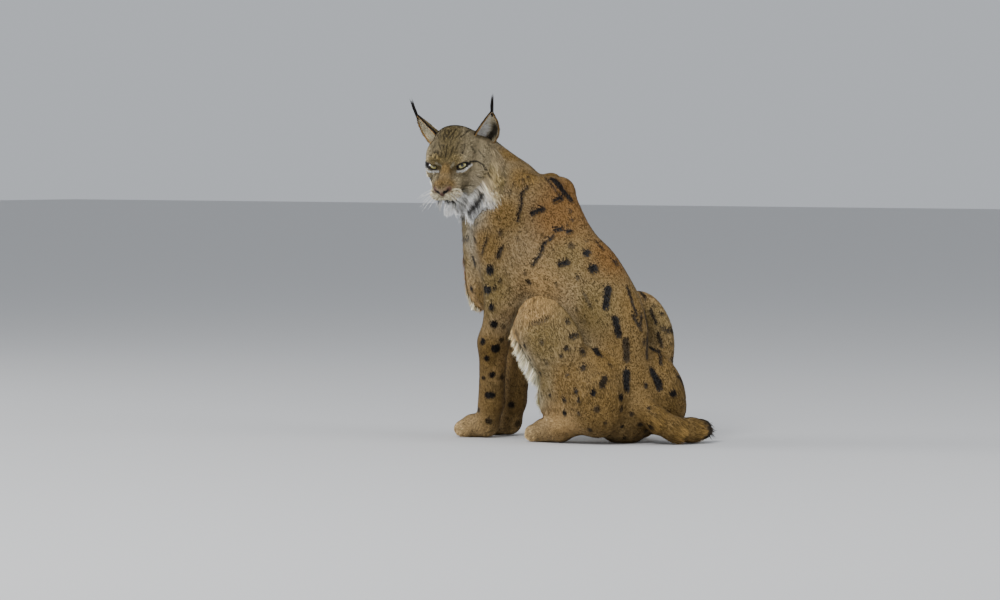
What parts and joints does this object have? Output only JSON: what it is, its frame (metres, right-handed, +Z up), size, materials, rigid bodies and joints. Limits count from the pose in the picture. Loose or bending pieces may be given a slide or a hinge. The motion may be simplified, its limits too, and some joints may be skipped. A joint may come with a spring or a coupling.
{
  "type": "eurasian lynx",
  "caption": "Life-size sitting Eurasian lynx with its head turned over its left shoulder, tufted ears, cheek ruff and a short tail.",
  "frame": {"origin": "a point of the flat that the rump rests on, at floor level", "axes": "+X to the animal's left, -Y the way its chest faces, +Z up"},
  "size_m": [0.3766, 0.7188, 0.772],
  "materials": {
    "coat": "dense winter fur, ochre with dark spots",
    "eye": "wet, glossy",
    "bare_skin": "damp nose and lip skin",
    "whisker": "stiff pale hair",
    "claw": "horn"
  },
  "bodies": {
    "root": {"head": "coat", "ear_left": "coat", "ear_right": "coat", "eye_left": "eye", "eye_right": "eye", "neck": "coat", "torso_front": "coat", "torso_rear": "coat", "shoulder_left": "coat", "shoulder_right": "coat", "forearm_left": "coat", "forearm_right": "coat", "forepaw_left": "coat", "forepaw_right": "coat", "thigh_left": "coat", "thigh_right": "coat", "shank_left": "coat", "shank_right": "coat", "hindpaw_left": "coat", "hindpaw_right": "coat", "tail": "coat"}
  },
  "joints": []
}
